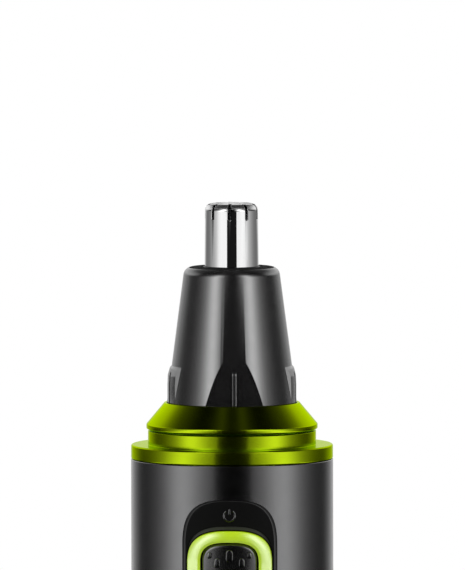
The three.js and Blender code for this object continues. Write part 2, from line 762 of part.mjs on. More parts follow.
function tailCap() {
  const edge = 1.6;
  const footArc = [...Array(5).keys()].map((index) => {
    const angle = (index * Math.PI) / 8;
    return [CAP_FOOT_R - edge + edge * Math.sin(angle), edge - edge * Math.cos(angle)];
  });
  const body = turned([
    [0, 0],
    ...footArc,
    [HANDLE_R - 0.15, CAP_TOP - 0.2],
    [HANDLE_R - 0.35, CAP_TOP],
    [CAP_SPIGOT_R, CAP_TOP],
    [CAP_SPIGOT_R, CAP_SEAL_Z - 0.8],
    [10.6, CAP_SEAL_Z - 0.8],
    [10.6, CAP_SEAL_Z + 0.8],
    [CAP_SPIGOT_R, CAP_SEAL_Z + 0.8],
    [CAP_SPIGOT_R, CAP_SPIGOT_TOP],
    [CAP_BORE_R, CAP_SPIGOT_TOP],
    [CAP_BORE_R, FLOOR],
    [0, FLOOR],
  ]);
  return join(body, ...lugs(CAP_SPIGOT_R - 0.4, 12.1, CAP_LEDGE_TOP + 0.4, 27.4));
}

function capContactPlate() {
  const foot = FLOOR + GAP;
  const plate = disc(8.5, foot, foot + 0.4);
  const arm = box(-9.55, -8, -1.2, 1.2, foot, foot + 0.4);
  const tab = box(-9.55, -9.25, -1.2, 1.2, foot, CELL_TUBE_FOOT - 0.8);
  return join(plate, arm, tab);
}

const capContactSpring = () => coil(5.4, 3, FLOOR + 1, CELL_FOOT - GAP, 5, 0.35);

// ---- Assembly -----------------------------------------------------------------------------

const trimmer = new THREE.Group();

function place(name, geometry, material) {
  const mesh = new THREE.Mesh(geometry, material);
  mesh.name = name;
  trimmer.add(mesh);
}

place("body_tube", bodyTube(), gunmetal());
place("flange_ring", flangeRing(), limeMetal());
place("shoulder_ring", shoulderRing(), limeMetal());
place("switch_panel", switchPanel(), blackPlastic());
place("tail_trim_ring", trimRing(), limeMetal());
place("chassis", chassis(), innerPlastic());
place("fixed_contact_lower", fixedContactLower(), brass());
place("fixed_contact_upper", fixedContactUpper(), brass());
place("battery_plus_contact", batteryPlusContact(), steel());
place("negative_strip", negativeStrip(), steel());
place("battery_lead", batteryLead(), redInsulation());
place("motor_lead", motorLead(), redInsulation());
place("return_lead", returnLead(), blackInsulation());

place("motor_can", motorCan(), steel());
place("motor_end_bell", motorEndBell(), whitePlastic());
place("motor_magnet_left", motorMagnet(-1), ferrite());
place("motor_magnet_right", motorMagnet(1), ferrite());
place("motor_terminal_left", motorTerminal(-5.5), brass());
place("motor_terminal_right", motorTerminal(5.5), brass());
place("motor_retainer", motorRetainer(), innerPlastic());
place("retainer_screw_left", retainerScrew(-SCREW_X), steel());
place("retainer_screw_right", retainerScrew(SCREW_X), steel());
place("motor_armature", motorArmature(), brass());
place("motor_shaft", motorShaft(), steel());
place("drive_coupling", driveCoupling(), whitePlastic());

place("slider_ring", sliderRing(), limePlastic());
place("slider_button", sliderButton(), blackPlastic());
place("slider_carrier", sliderCarrier(), innerPlastic());
place("moving_contact", movingContact(), brass());

place("head_cone", headCone(), blackPlastic());
place("outer_cutter", outerCutter(), chrome());
place("cutter_retainer", cutterRetainer(), innerPlastic());
place("bearing_plate", bearingPlate(), steel());
place("spindle_bush", spindleBush(), brass());
place("head_o_ring", torus(8.4, 0.5, O_RING_Z), rubber());
place("blade_spindle", bladeSpindle(), whitePlastic());
place("inner_blade", innerBlade(), steel());
place("blade_spring", bladeSpring(), steel());

place("battery_cell", batteryCell(), cellWrap());
place("tail_cap", tailCap(), blackPlastic());
place("cap_o_ring", torus(11.2, 0.45, CAP_SEAL_Z), rubber());
place("cap_contact_plate", capContactPlate(), steel());
place("cap_contact_spring", capContactSpring(), steel());

export default trimmer;
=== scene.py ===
"""Nose hair trimmer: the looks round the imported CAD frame.

Pieces are built in millimetres, scaled to metres when they are settled on their body, and placed by the
CAD nodes' own boxes. +Z is up along the handle and the switch faces -Y.
"""

import json
import math

import bmesh
import bpy
from mathutils import Matrix, Quaternion, Vector


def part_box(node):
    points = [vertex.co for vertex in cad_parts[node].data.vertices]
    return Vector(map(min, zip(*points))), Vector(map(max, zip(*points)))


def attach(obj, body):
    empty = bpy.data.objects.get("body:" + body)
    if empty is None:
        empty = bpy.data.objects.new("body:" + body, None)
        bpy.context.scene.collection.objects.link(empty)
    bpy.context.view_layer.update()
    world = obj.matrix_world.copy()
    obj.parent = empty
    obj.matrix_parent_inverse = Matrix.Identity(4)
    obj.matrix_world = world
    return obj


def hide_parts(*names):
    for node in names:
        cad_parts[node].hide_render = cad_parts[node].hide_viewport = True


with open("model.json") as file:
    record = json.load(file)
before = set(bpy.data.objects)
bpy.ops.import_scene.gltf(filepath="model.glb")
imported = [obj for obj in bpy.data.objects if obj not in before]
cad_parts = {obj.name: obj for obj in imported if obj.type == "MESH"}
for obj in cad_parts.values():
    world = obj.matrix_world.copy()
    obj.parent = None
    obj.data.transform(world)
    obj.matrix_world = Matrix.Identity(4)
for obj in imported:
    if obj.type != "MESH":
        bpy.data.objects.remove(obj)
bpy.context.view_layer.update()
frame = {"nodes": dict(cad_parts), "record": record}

MM = 0.001
TURN = 2 * math.pi


# ---- Reading the frame ----


def foot(node):
    """Lowest level of a CAD node, in millimetres."""
    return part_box(node)[0].z / MM


def top(node):
    """Highest level of a CAD node, in millimetres."""
    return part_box(node)[1].z / MM


def middle(node):
    """Level halfway up a CAD node, in millimetres."""
    return (foot(node) + top(node)) / 2


def radius(node):
    """Largest radius of a round CAD node, in millimetres."""
    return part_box(node)[1].x / MM


def front(node):
    """How far a CAD node reaches towards the front, in millimetres."""
    return -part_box(node)[0].y / MM


HANDLE_R = radius("body_tube")
SEAM = 0.1  # visible gap between fitted pieces
BEYOND = 20  # tools that cut from the front start here, outside everything


# ---- Camera, light and floor ----

CAMERA_AZIMUTH = math.radians(1.6)
CAMERA_ELEVATION = math.radians(4.1)
CAMERA_DISTANCE = 2.5
CAMERA_ROLL = math.radians(-0.125)
VIEW_HEIGHT = 0.0789  # what the frame shows at the handle's axis
VIEW_CENTRE = (0.00011, 0, top("outer_cutter") * MM - 0.01135)
SENSOR = 36


def make_camera():
    data = bpy.data.cameras.new("camera")
    data.sensor_width = SENSOR
    data.lens = SENSOR * CAMERA_DISTANCE / VIEW_HEIGHT
    data.clip_start = 0.05
    data.clip_end = 60
    camera = bpy.data.objects.new("camera", data)
    bpy.context.scene.collection.objects.link(camera)
    level = math.cos(CAMERA_ELEVATION)
    across = math.sin(CAMERA_AZIMUTH) * level
    away = math.cos(CAMERA_AZIMUTH) * level
    back = Vector((across, -away, math.sin(CAMERA_ELEVATION)))
    camera.location = Vector(VIEW_CENTRE) + back * CAMERA_DISTANCE
    roll = Quaternion((0, 0, 1), CAMERA_ROLL)
    camera.rotation_euler = ((-back).to_track_quat("-Z", "Y") @ roll).to_euler()
    bpy.context.scene.camera = camera


# The studio seen from the object: azimuth in degrees, 0 towards the front, and brightness.
# Left and right are alike until STUDIO_TURN turns the whole ring, with the thin strip further down.
# The upright lights lean towards the front at their tops.
STUDIO_AROUND = (
    (0, 0.0),
    (10, 0.002),
    (16, 0.02),
    (22, 0.07),
    (30, 0.24),
    (38, 0.65),
    (46, 1.25),
    (54, 1.9),
    (61, 2.1),
    (68, 1.6),
    (76, 0.9),
    (84, 0.45),
    (97, 0.18),
    (110, 0.06),
    (120, 0.04),
    (128, 0.08),
    (137, 0.4),
    (150, 0.8),
    (165, 1.0),
    (180, 1.0),
)
STUDIO_TURN = 2.5  # degrees to the right
# Heights in the studio are the sine of the elevation.
STUDIO_LEAN = 2.4
STUDIO_LEVEL = -0.07  # where the lights stand at their own azimuths
STUDIO_LEAN_TOP = 0.3  # they stop leaning here
# Height, and the factor on the lights' brightness there.
STUDIO_BY_HEIGHT = (
    (-1, 0.5),
    (-0.6, 0.75),
    (-0.4, 1),
    (0.05, 1),
    (0.17, 1.4),
    (0.3, 1.3),
    (0.5, 0.85),
    (0.62, 0.3),
    (0.72, 0.1),
    (0.9, 0.05),
    (1, 0.02),
)
CEILING = ((0.94, 0), (0.97, 0.015), (1, 0.015))  # a dim round light overhead, by height
# A thin level strip that only polished surfaces pick out, by azimuth and by height.
STRIP_AROUND = (
    (0, 0.012),
    (20.4, 0.012),
    (21.2, 1.25),
    (45, 1.3),
    (58, 1.15),
    (70, 0.75),
    (82, 0.54),
    (95, 0.4),
    (109, 0.26),
    (124, 0.2),
    (138, 0.22),
    (150, 0.5),
    (162, 1),
    (180, 1),
)
STRIP_BY_HEIGHT = ((-0.1, 0), (-0.08, 0), (-0.076, 1), (-0.038, 1), (-0.034, 0), (0, 0))


def math_node(tree, operation, first, second=None):
    node = tree.nodes.new("ShaderNodeMath")
    node.operation = operation
    for socket, value in zip(node.inputs, (first, second)):
        if value is None:
            continue
        if isinstance(value, (int, float)):
            socket.default_value = value
        else:
            tree.links.new(value, socket)
    return node.outputs[0]


def brightness_curve(tree, value, stops):
    """Brightness against a value, through stops given as (value, brightness)."""
    low, high = stops[0][0], stops[-1][0]
    peak = max(brightness for _, brightness in stops)
    spread_value = tree.nodes.new("ShaderNodeMapRange")
    spread_value.inputs["From Min"].default_value = low
    spread_value.inputs["From Max"].default_value = high
    tree.links.new(value, spread_value.inputs["Value"])
    ramp = tree.nodes.new("ShaderNodeValToRGB")
    elements = ramp.color_ramp.elements
    while len(elements) < len(stops):
        elements.new(0.5)
    for element, (at, brightness) in zip(elements, stops):
        level = brightness / peak
        element.position = (at - low) / (high - low)
        element.color = (level, level, level, 1)
    tree.links.new(spread_value.outputs["Result"], ramp.inputs[0])
    return math_node(tree, "MULTIPLY", ramp.outputs[0], peak)


def make_world():
    """Plain white for the camera, and a ring of soft lights for the object's surfaces."""
    world = bpy.data.worlds.new("studio")
    bpy.context.scene.world = world
    world.use_nodes = True
    tree = world.node_tree
    tree.nodes.clear()
    coordinates = tree.nodes.new("ShaderNodeTexCoord")
    split = tree.nodes.new("ShaderNodeSeparateXYZ")
    tree.links.new(coordinates.outputs["Generated"], split.inputs[0])
    towards_front = math_node(tree, "MULTIPLY", split.outputs["Y"], -1)
    turn = math_node(tree, "ARCTAN2", split.outputs["X"], towards_front)
    turned_right = math_node(tree, "SUBTRACT", turn, math.radians(STUDIO_TURN))
    degrees = math_node(tree, "MULTIPLY", math_node(tree, "ABSOLUTE", turned_right), 360 / TURN)
    from_behind = math_node(tree, "SUBTRACT", 1, math_node(tree, "DIVIDE", degrees, 180))
    bent = math_node(tree, "MINIMUM", split.outputs["Z"], STUDIO_LEAN_TOP)
    rise = math_node(tree, "SUBTRACT", bent, STUDIO_LEVEL)
    lean = math_node(tree, "MULTIPLY", math_node(tree, "MULTIPLY", rise, STUDIO_LEAN), from_behind)
    leaning = math_node(tree, "MULTIPLY", degrees, math_node(tree, "ADD", lean, 1))
    around = brightness_curve(tree, leaning, STUDIO_AROUND)
    height = brightness_curve(tree, split.outputs["Z"], STUDIO_BY_HEIGHT)
    ceiling = brightness_curve(tree, split.outputs["Z"], CEILING)
    strip_around = brightness_curve(tree, degrees, STRIP_AROUND)
    strip_height = brightness_curve(tree, split.outputs["Z"], STRIP_BY_HEIGHT)
    strip = math_node(tree, "MULTIPLY", strip_around, strip_height)
    beside_strip = math_node(tree, "SUBTRACT", 1, strip_height)
    soft = math_node(tree, "MULTIPLY", math_node(tree, "MULTIPLY", around, height), beside_strip)
    lights = math_node(tree, "ADD", math_node(tree, "ADD", soft, strip), ceiling)
    studio = tree.nodes.new("ShaderNodeBackground")
    tree.links.new(lights, studio.inputs["Strength"])
    backdrop = tree.nodes.new("ShaderNodeBackground")
    backdrop.inputs["Color"].default_value = (1, 1, 1, 1)
    seen = tree.nodes.new("ShaderNodeLightPath")
    mix = tree.nodes.new("ShaderNodeMixShader")
    tree.links.new(seen.outputs["Is Camera Ray"], mix.inputs[0])
    tree.links.new(studio.outputs[0], mix.inputs[1])
    tree.links.new(backdrop.outputs[0], mix.inputs[2])
    output = tree.nodes.new("ShaderNodeOutputWorld")
    tree.links.new(mix.outputs[0], output.inputs[0])


def make_overhead_light():
    """One large soft lamp that lights the floor and fills the matt pieces."""
    data = bpy.data.lights.new("overhead", "AREA")
    data.shape = "RECTANGLE"
    data.size = 1.2
    data.size_y = 1.2
    data.energy = 28
    lamp = bpy.data.objects.new("overhead", data)
    bpy.context.scene.collection.objects.link(lamp)
    lamp.location = (0, -0.5, 1.6)
    lamp.rotation_euler = (math.radians(17), 0, 0)
    lamp.visible_camera = False
    lamp.visible_glossy = False


def make_floor():
    """A round white floor that the polished surfaces don't show."""
    mesh = bpy.data.meshes.new("floor")
    form = bmesh.new()
    bmesh.ops.create_circle(form, cap_ends=True, radius=0.85, segments=96)
    form.to_mesh(mesh)
    form.free()
    floor = bpy.data.objects.new("floor", mesh)
    bpy.context.scene.collection.objects.link(floor)
    material, shader = principled("floor_paint", grey(0.86), 0.7)
    add_bump(material, shader, scale=400, strength=0.02, distance=0.0002)
    mesh.materials.append(material)
    floor.visible_glossy = False


# ---- Materials ----


def grey(level):
    return (level, level, level)


def principled(name, color, roughness, metallic=0.0, ior=1.5, edge=(1, 1, 1)):
    """A new material and its shader; edge tints a metal's reflection at grazing angles."""
    material = bpy.data.materials.new(name)
    material.use_nodes = True
    shader = material.node_tree.nodes["Principled BSDF"]
    shader.inputs["Base Color"].default_value = (*color, 1)
    shader.inputs["Roughness"].default_value = roughness
    shader.inputs["Metallic"].default_value = metallic
    shader.inputs["IOR"].default_value = ior
    shader.inputs["Specular Tint"].default_value = (*edge, 1)
    return material, shader


def object_noise(tree, scale, detail, stretch):
    """Noise in the object's own space, finer along an axis where stretch is larger."""
    coordinates = tree.nodes.new("ShaderNodeTexCoord")
    mapping = tree.nodes.new("ShaderNodeMapping")
    mapping.inputs["Scale"].default_value = stretch
    noise = tree.nodes.new("ShaderNodeTexNoise")
    noise.inputs["Scale"].default_value = scale
    noise.inputs["Detail"].default_value = detail
    tree.links.new(coordinates.outputs["Object"], mapping.inputs[0])
    tree.links.new(mapping.outputs[0], noise.inputs["Vector"])
    return noise.outputs["Fac"]


def spread(tree, factor, low, high):
    """A noise factor, mostly between 0.3 and 0.7, spread from low to high."""
    node = tree.nodes.new("ShaderNodeMapRange")
    node.inputs["From Min"].default_value = 0.3
    node.inputs["From Max"].default_value = 0.7
    node.inputs["To Min"].default_value = low
    node.inputs["To Max"].default_value = high
    tree.links.new(factor, node.inputs["Value"])
    return node.outputs["Result"]


def add_bump(material, shader, scale, strength, distance, stretch=(1, 1, 1)):
    tree = material.node_tree
    bump = tree.nodes.new("ShaderNodeBump")
    bump.inputs["Strength"].default_value = strength
    bump.inputs["Distance"].default_value = distance
    tree.links.new(object_noise(tree, scale, 3.0, stretch), bump.inputs["Height"])
    tree.links.new(bump.outputs["Normal"], shader.inputs["Normal"])


def vary_roughness(material, shader, scale, low, high, stretch=(1, 1, 1)):
    tree = material.node_tree
    result = spread(tree, object_noise(tree, scale, 4.0, stretch), low, high)
    tree.links.new(result, shader.inputs["Roughness"])


def vary_color(material, shader, scale, dark, light, stretch=(1, 1, 1)):
    tree = material.node_tree
    mix = tree.nodes.new("ShaderNodeMix")
    mix.data_type = "RGBA"
    mix.inputs["A"].default_value = (*dark, 1)
    mix.inputs["B"].default_value = (*light, 1)
    factor = spread(tree, object_noise(tree, scale, 4.0, stretch), 0, 1)
    tree.links.new(factor, mix.inputs["Factor"])
    tree.links.new(mix.outputs["Result"], shader.inputs["Base Color"])


def scaled(color, factor):
    return tuple(channel * factor for channel in color)


def finish_of(name, color, roughness, metallic=0.0, ior=1.5, *, grain, edge=(1, 1, 1), tone=0.06):
    """A moulded or machined surface with slight changes of tone and gloss, and a grain.

    The grain is (scale, strength), and tone is how far the colour strays.
    """
    material, shader = principled(name, color, roughness, metallic, ior, edge)
    vary_color(material, shader, 260, scaled(color, 1 - tone), scaled(color, 1 + tone))
    vary_roughness(material, shader, 700, roughness * 0.92, roughness * 1.08)
    scale, strength = grain
    add_bump(material, shader, scale, strength, 0.00004)
    return material


def drawn_metal(name, color, roughness, along=(1, 1, 0.04), strength=0.1):
    """Metal with fine lines from drawing or turning: stretched noise in gloss and relief."""
    material, shader = principled(name, color, roughness, 1.0)
    vary_color(material, shader, 900, scaled(color, 0.94), scaled(color, 1.06), along)
    vary_roughness(material, shader, 2200, roughness * 0.8, roughness * 1.2, along)
    add_bump(material, shader, 5000, strength, 0.00002, along)
    return material


# The settings of every finish, for finish_of in the first table and drawn_metal in the second.
FINISHES = {
    "gunmetal": dict(
        color=(0.19, 0.19, 0.192),
        roughness=0.21,
        metallic=1.0,
        grain=(9000, 0.02),
        tone=0.02,
    ),
    "lime_metal": dict(
        color=(0.42, 0.58, 0.008),
        roughness=0.18,
        metallic=1.0,
        edge=(0.72, 0.86, 0.1),
        grain=(9000, 0.02),
        tone=0.03,
    ),
    "lime_plastic": dict(color=(0.6, 0.88, 0.012), roughness=0.22, ior=3.5, grain=(5000, 0.05), tone=0.04),
    "black_satin": dict(color=grey(0.008), roughness=0.2, ior=2.9, grain=(4200, 0.1)),
    "black_matt": dict(color=grey(0.008), roughness=0.9, ior=1.2, grain=(4200, 0.2)),
    "black_panel": dict(color=grey(0.0035), roughness=0.6, ior=1.22, grain=(6000, 0.1)),
    "gloss_black": dict(color=grey(0.01), roughness=0.3, ior=1.55, grain=(6000, 0.04)),
    "button_black": dict(color=grey(0.003), roughness=0.2, ior=2.5, grain=(6000, 0.04)),
    # Painted light: a lighter grey for the pocket's liner, standing in for light caught round the slider's
    # top.
    "pocket_floor_painted_light": dict(color=grey(0.028), roughness=0.5, ior=1.6, grain=(6000, 0.1)),
    # Dark steel for the foot washer, and painted shade on the faces inside the cutter's bore.
    "dark_steel_and_bore_shade": dict(color=(0.05, 0.05, 0.052), roughness=0.4, metallic=1.0, grain=(3000, 0.1)),
    "inner_plastic": dict(color=(0.03, 0.032, 0.035), roughness=0.5, grain=(3000, 0.25)),
    "white_plastic": dict(color=(0.78, 0.77, 0.72), roughness=0.35, grain=(3000, 0.1)),
    "ferrite": dict(color=(0.03, 0.03, 0.032), roughness=0.7, grain=(2500, 0.5)),
    "rubber": dict(color=grey(0.014), roughness=0.55, grain=(2500, 0.2)),
    "red_insulation": dict(color=(0.45, 0.02, 0.015), roughness=0.4, grain=(4000, 0.1)),
    "black_insulation": dict(color=grey(0.012), roughness=0.4, grain=(4000, 0.1)),
    "cell_jacket": dict(color=(0.05, 0.055, 0.065), roughness=0.25, metallic=0.4, grain=(800, 0.03)),
}
DRAWN_METALS = {
    "chrome": dict(color=grey(0.9), roughness=0.04, strength=0.001),
    "tumbled_chrome": dict(color=grey(0.9), roughness=0.36, strength=0.001),
    "blade_steel": dict(color=(0.62, 0.63, 0.65), roughness=0.25, along=(1, 1, 6)),
    "spring_steel": dict(color=(0.55, 0.56, 0.58), roughness=0.22),
    "motor_steel": dict(color=(0.5, 0.51, 0.53), roughness=0.3),
    "brass": dict(color=(0.7, 0.5, 0.18), roughness=0.28),
    "copper": dict(color=(0.62, 0.28, 0.12), roughness=0.35, along=(1, 1, 8), strength=0.4),
}
made_materials = {}


def material_of(name):
    """The material of that name, made when it is first asked for."""
    if name not in made_materials:
        if name in DRAWN_METALS:
            made_materials[name] = drawn_metal(name, **DRAWN_METALS[name])
        else:
            made_materials[name] = finish_of(name, **FINISHES[name])
    return made_materials[name]


# ---- Mesh helpers ----

# A tool is an object that combine() uses on a piece.


def new_object(name, form):
    """An object from a bmesh, with its faces turned outwards."""
    bmesh.ops.remove_doubles(form, verts=form.verts, dist=1e-5)
    bmesh.ops.recalc_face_normals(form, faces=form.faces)
    mesh = bpy.data.meshes.new(name)
    form.to_mesh(mesh)
    form.free()
    obj = bpy.data.objects.new(name, mesh)
    bpy.context.scene.collection.objects.link(obj)
    return obj


def skin(name, rows, close_rows=True):
    """Quads between closed rows of points; close_rows joins the last row to the first.

    A row that is one point is a pole.
    """
    form = bmesh.new()
    grid = [[form.verts.new(point) for point in row] for row in rows]
    following_rows = grid[1:] + grid[:1] if close_rows else grid[1:]
    for lower, upper in zip(grid, following_rows):
        width = max(len(lower), len(upper))
        for index in range(width):
            following = (index + 1) % width
            corners = [
                lower[index % len(lower)],
                lower[following % len(lower)],
                upper[following % len(upper)],
                upper[index % len(upper)],
            ]
            distinct = list(dict.fromkeys(corners))
            if len(distinct) > 2:
                form.faces.new(distinct)
    return new_object(name, form)


def rounded(corners, closed, steps):
    """A section with its corners rounded; each corner is (radius, level) or (radius, level, fillet)."""
    points = []
    count = len(corners)
    for index, corner in enumerate(corners):
        here = Vector(corner[:2])
        fillet = corner[2] if len(corner) > 2 else 0
        at_end = not closed and index in (0, count - 1)
        if fillet == 0 or at_end:
            points.append(here)
            continue
        towards_last = (Vector(corners[index - 1][:2]) - here).normalized()
        towards_next = (Vector(corners[(index + 1) % count][:2]) - here).normalized()
        half = towards_last.angle(towards_next) / 2
        reach = fillet / math.tan(half)
        centre = here + (towards_last + towards_next).normalized() * (fillet / math.sin(half))
        start = here + towards_last * reach - centre
        end = here + towards_next * reach - centre
        sweep = math.atan2(start.x * end.y - start.y * end.x, start.dot(end))
        for step in range(steps + 1):
            turn = Matrix.Rotation(sweep * step / steps, 2)
            points.append(centre + turn @ start)
    return points


def turned(name, corners, closed=True, segments=256, steps=5):
    """A body of revolution; an open section starts and ends on the axis."""
    rows = []
    for r, z in rounded(corners, closed, steps):
        if r < 1e-6:
            rows.append([(0, 0, z)])
            continue
        angles = [TURN * index / segments for index in range(segments)]
        rows.append([(r * math.cos(angle), r * math.sin(angle), z) for angle in angles])
    return skin(name, rows, close_rows=closed)


def block(x0, x1, y0, y1, z0, z1):
    """A tool: a plain box."""
    form = bmesh.new()
    bmesh.ops.create_cube(form, size=1)
    size = Vector((x1 - x0, y1 - y0, z1 - z0))
    bmesh.ops.scale(form, vec=size, verts=form.verts)
    bmesh.ops.translate(form, vec=((x0 + x1) / 2, (y0 + y1) / 2, (z0 + z1) / 2), verts=form.verts)
    return new_object("tool", form)


def centre_of(points):
    return tuple(sum(values) / len(points) for values in zip(*points))


def upright_prism(outline, y0, y1):
    """A tool: an outline in X and Z, carried along Y."""
    centre_x, centre_z = centre_of(outline)
    rows = [[(centre_x, y0, centre_z)]]
    for y in (y0, y1):
        rows.append([(x, y, z) for x, z in outline])
    rows.append([(centre_x, y1, centre_z)])
    return skin("tool", rows, close_rows=False)


def capped(rows):
    """A tool: a solid through closed sections, with flat ends."""
    form = bmesh.new()
    grid = [[form.verts.new(point) for point in row] for row in rows]
    for lower, upper in zip(grid, grid[1:]):
        for index in range(len(lower)):
            following = (index + 1) % len(lower)
            form.faces.new((lower[index], lower[following], upper[following], upper[index]))
    form.faces.new(grid[0])
    form.faces.new(grid[-1])
    return new_object("tool", form)


def sector(inner_r, outer_r, start, end, low, high, steps=16):
    """A tool: a stretch of a ring between two angles in degrees, counted anticlockwise from the front."""
    rows = []
    for step in range(steps + 1):
        angle = math.radians(start + (end - start) * step / steps - 90)
        c, s = math.cos(angle), math.sin(angle)
        section = ((inner_r, low), (outer_r, low), (outer_r, high), (inner_r, high))
        rows.append([(r * c, r * s, z) for r, z in section])
    return capped(rows)


def turn_about_axis(obj, degrees):
    obj.data.transform(Matrix.Rotation(math.radians(degrees), 4, "Z"))
    return obj


def apply_modifiers(obj):
    shown = obj.evaluated_get(bpy.context.evaluated_depsgraph_get())
    mesh = bpy.data.meshes.new_from_object(shown)
    obj.modifiers.clear()
    obj.data = mesh


def combine(obj, operation, *tools):
    """Joins the tools to the object, cuts them out of it or keeps what they share, and uses them up."""
    for tool in tools:
        modifier = obj.modifiers.new("combine", "BOOLEAN")
        modifier.operation = operation
        modifier.solver = "EXACT"
        modifier.object = tool
        apply_modifiers(obj)
        bpy.data.objects.remove(tool)
    return obj


def soften_edges(obj, width, segments=2, angle=35, clamp=True):
    """A narrow round on every sharp edge."""
    modifier = obj.modifiers.new("edges", "BEVEL")
    modifier.width = width
    modifier.segments = segments
    modifier.limit_method = "ANGLE"
    modifier.angle_limit = math.radians(angle)
    modifier.use_clamp_overlap = clamp
    apply_modifiers(obj)
    return obj


def joined(name, *objects):
    """Several shells in one piece."""
    form = bmesh.new()
    for obj in objects:
        form.from_mesh(obj.data)
        bpy.data.objects.remove(obj)
    mesh = bpy.data.meshes.new(name)
    form.to_mesh(mesh)
    form.free()
    piece = bpy.data.objects.new(name, mesh)
    bpy.context.scene.collection.objects.link(piece)
    return piece


def settle(obj, body, slot, *nodes, material=None, sharp=32):
    """Scales a piece to metres, shades it, gives it its finish and lets it ride on its body."""
    obj.data.transform(Matrix.Scale(MM, 4))
    obj.data.polygons.foreach_set("use_smooth", [True] * len(obj.data.polygons))
    obj.data.set_sharp_from_angle(angle=math.radians(sharp))
    modifier = obj.modifiers.new("normals", "WEIGHTED_NORMAL")
    modifier.keep_sharp = True
    modifier.weight = 100
    apply_modifiers(obj)
    if not obj.data.materials:
        obj.data.materials.append(material_of(material or slot))
    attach(obj, body)
    if nodes:
        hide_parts(*nodes)


# ---- Shapes that lie on the round front ----


def arched_outline(half_width, low, high, arch, power=3.0, steps=24):
    """An upright outline in X and Z whose two ends are superellipse arches."""
    points = []
    for index in range(4 * steps):
        angle = TURN * index / (4 * steps)
        across = math.copysign(abs(math.cos(angle)) ** (2 / power), math.cos(angle))
        along = abs(math.sin(angle)) ** (2 / power)
        z = high - arch + arch * along if index < 2 * steps else low + arch - arch * along
        points.append((half_width * across, z))
    return points


def on_front(x, z, r):
    """The point at X and Z on a cylinder of radius r, on the switch side."""
    return (x, -math.sqrt(max(r * r - x * x, 0.0)), z)


def towards(point, centre, share):
    """The point that lies a share of the way to the centre."""
    return tuple(p + (c - p) * share for p, c in zip(point, centre))


def domed_plate(name, outline, base_r, face_r, edge, crown=0.0, rings=10):
    """A plate on the round front: an upright wall, a rounded edge and a face that swells by crown."""
    xs = [x for x, z in outline]
    zs = [z for x, z in outline]
    centre = ((min(xs) + max(xs)) / 2, (min(zs) + max(zs)) / 2)
    half = min(max(xs) - min(xs), max(zs) - min(zs)) / 2
    section = [(0.0, base_r), (0.0, face_r - edge)]
    for step in range(1, 7):
        angle = step * math.pi / 12
        section.append((edge / half * (1 - math.cos(angle)), face_r - edge * (1 - math.sin(angle))))
    for step in range(1, rings):
        share = edge / half + (1 - edge / half) * step / rings
        section.append((share, face_r + crown * math.sin(share * math.pi / 2)))
    rows = [[on_front(*centre, base_r)]]
    for share, r in section:
        rows.append([on_front(*towards(point, centre, share), r) for point in outline])
    rows.append([on_front(*centre, face_r + crown)])
    return skin(name, rows, close_rows=False)


def moved(outline, dx, dz):
    return [(x + dx, z + dz) for x, z in outline]


# ---- Switch ----

PANEL_R = front("switch_panel")
PANEL_LIP = 1.2  # hidden edge behind the tube, on the CAD panel
PANEL_TOP = top("switch_panel") - PANEL_LIP
PANEL_FOOT = foot("switch_panel") + PANEL_LIP
PANEL_HALF_WIDTH = 6.5
PANEL_ARCH = 7.0
PANEL_BACK_R = HANDLE_R - 1.6
RIM_AT_SIDE = 0.36
RIM_AT_END = 0.14
RIM_DROP = 0.15
POCKET_FLOOR_R = PANEL_R - 0.85
POCKET_LEDGE_R = PANEL_R - 0.3  # a step round the pocket, which its liner lies on
SLIDER_TOP = top("slider_ring")
SLIDER_FOOT = foot("slider_ring")
SLIDER_HALF_WIDTH = radius("slider_ring")
SLIDER_R = front("slider_ring")
SLIDER_BACK_R = POCKET_FLOOR_R + 0.1
SLIDER_ARCH = 4.6
SLIDER_TRAVEL = 5.0  # as far as its joint goes
FRAME_WIDTH_AT_TOP = 1.5
FRAME_WIDTH_AT_SIDE = 1.8
BUTTON_HALF_WIDTH = radius("slider_button")
BUTTON_R = front("slider_button")
BUTTON_TOP = top("slider_button") + 0.12
BUTTON_FOOT = foot("slider_button")


def panel_outline(at_sides=0.0, at_ends=0.0):
    """The plate's outline, grown by a margin at its sides and by another at its ends."""
    low = PANEL_FOOT - at_ends
    high = PANEL_TOP + at_ends
    return arched_outline(PANEL_HALF_WIDTH + at_sides, low, high, PANEL_ARCH)


def plate_outline():
    """The plate's face, which ends where its polished rim starts."""
    return panel_outline(-RIM_AT_SIDE, -RIM_AT_END)


def slider_outline(margin=0.0, above=0.0, below=0.0):
    """The slider's outline, grown by a margin and drawn out at its ends."""
    return arched_outline(
        SLIDER_HALF_WIDTH + margin,
        SLIDER_FOOT - margin - below,
        SLIDER_TOP + margin + above,
        SLIDER_ARCH + margin,
        power=2.7,
    )


def recess(outline, floor_r):
    """A tool that cuts into the plate from the front, down to its floor."""
    return domed_plate("tool", outline, floor_r, BEYOND, 0.3)


def pocket(floor_r):
    """The tool for the slider's own way, with its clearance."""
    return recess(slider_outline(margin=0.12, above=0.05, below=SLIDER_TRAVEL), floor_r)


def switch_plate():
    """The curved plate, with a shallow ledge round the deeper pocket that the slider runs in."""
    plate = domed_plate("switch_plate", plate_outline(), PANEL_BACK_R, PANEL_R, 0.02)
    ledge = recess(slider_outline(margin=0.1, above=0.62, below=SLIDER_TRAVEL), POCKET_LEDGE_R)
    combine(plate, "DIFFERENCE", ledge, pocket(POCKET_FLOOR_R))
    settle(plate, "handle", "black_panel", "switch_panel")


def plate_rim():
    """The plate's polished edge, rolled over from its face to the tube, and wider at the sides."""
    rows = []
    for outside, inside in zip(panel_outline(), plate_outline()):
        section = [on_front(*inside, PANEL_BACK_R), on_front(*outside, PANEL_BACK_R)]
        for step in range(9):
            share = step / 8
            x, z = towards(outside, inside, share)
            section.append(on_front(x, z, PANEL_R - RIM_DROP * (1 - share) ** 2))
        rows.append(section)
    settle(skin("plate_rim", rows), "handle", "black_panel", material="gloss_black")


